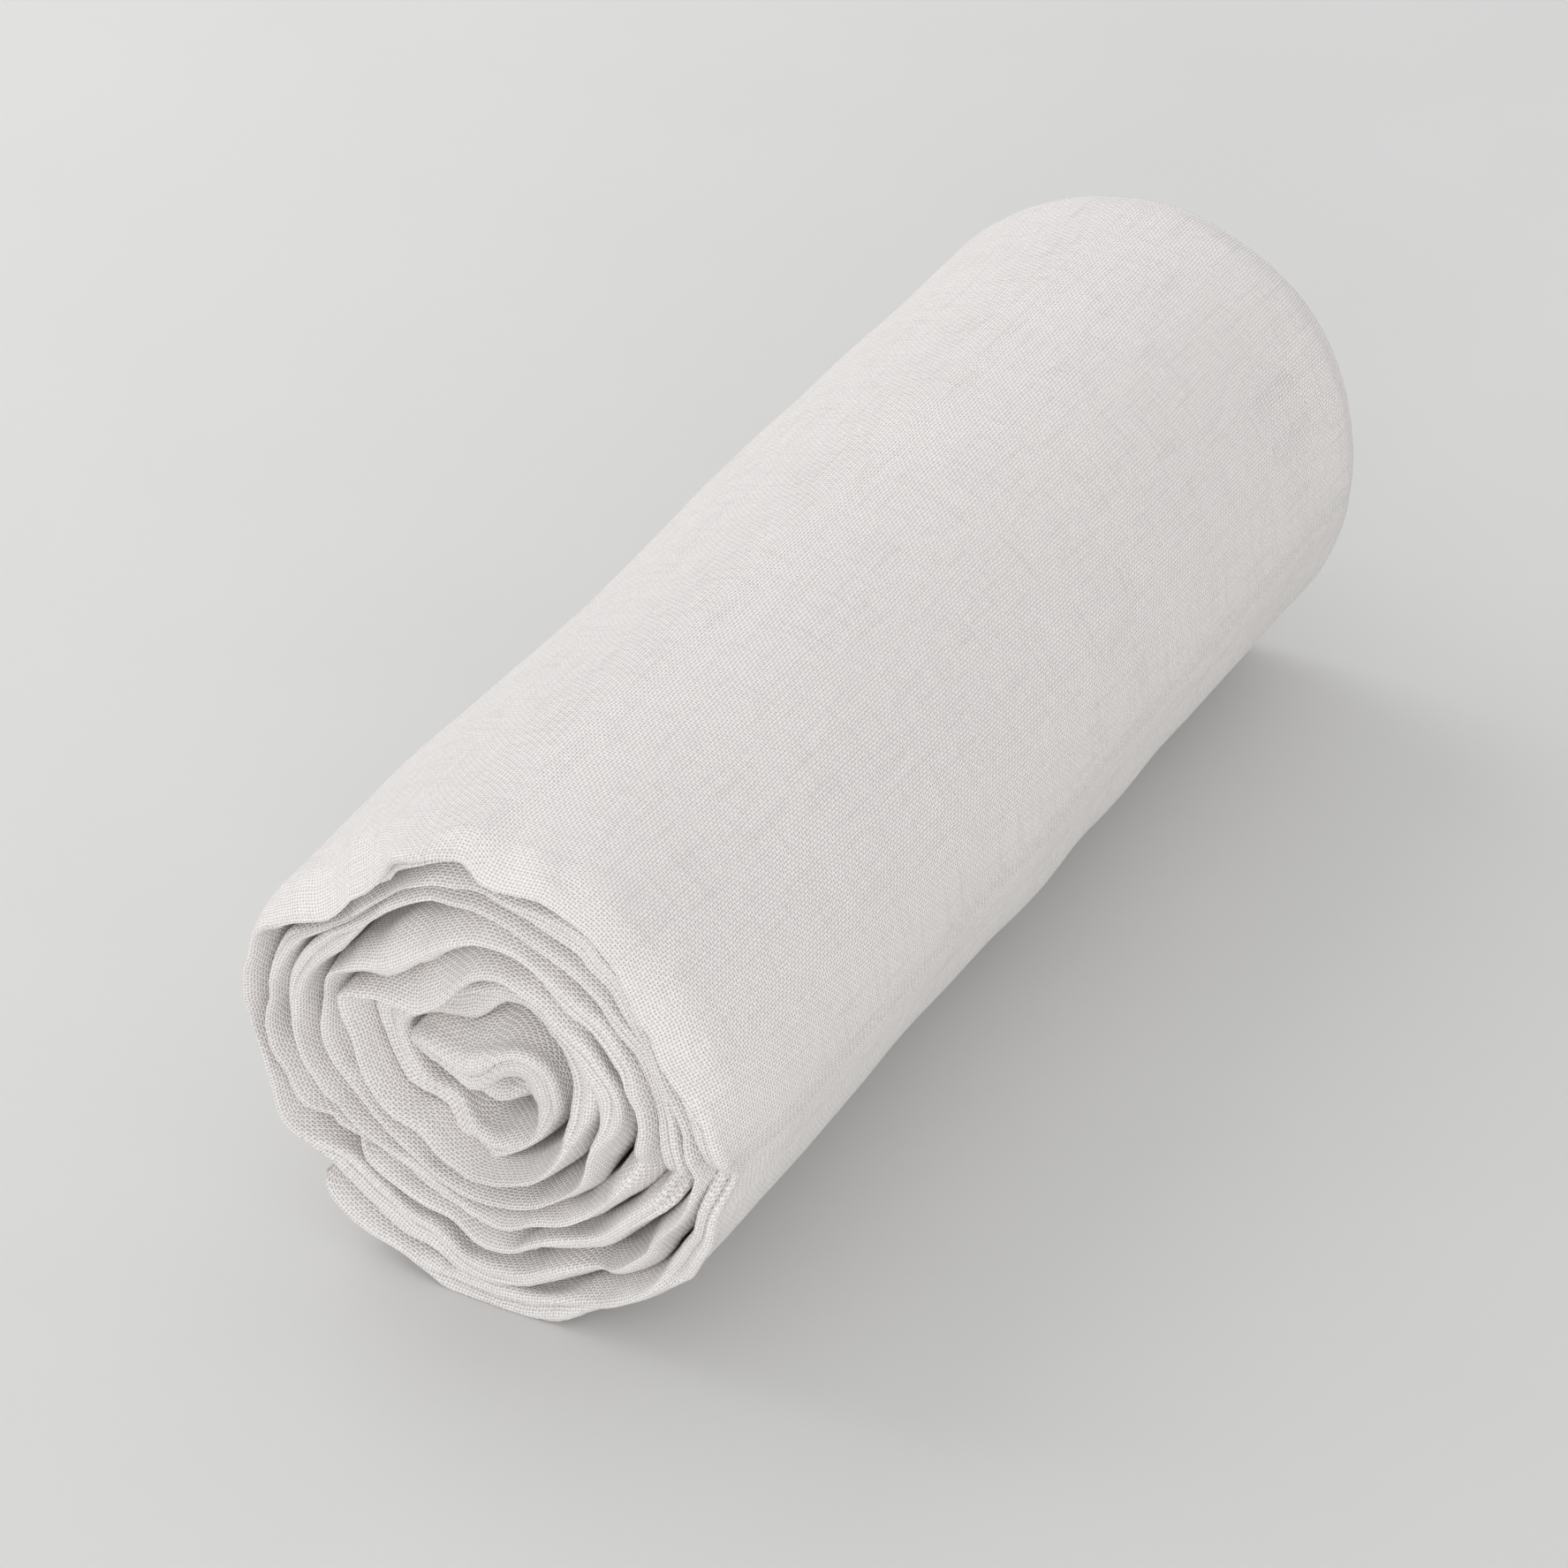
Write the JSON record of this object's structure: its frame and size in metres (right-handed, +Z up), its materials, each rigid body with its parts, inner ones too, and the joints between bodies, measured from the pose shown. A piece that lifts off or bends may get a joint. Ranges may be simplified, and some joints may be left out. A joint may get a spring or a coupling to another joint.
{
  "type": "rolled fitted sheet",
  "caption": "Plain off-white linen fitted sheet, folded into a strip and rolled up, lying on its side with soft crumpled spiral folds at its end.",
  "frame": {"origin": "on the surface the roll lies on, under the middle of its box", "axes": "+Y along the roll away from its crumpled end, +Z up"},
  "size_m": [0.1168, 0.3121, 0.117],
  "materials": {
    "linen": "washed linen in a plain weave, matt, off-white"
  },
  "bodies": {
    "root": {"rolled_sheet": "linen"}
  },
  "joints": []
}
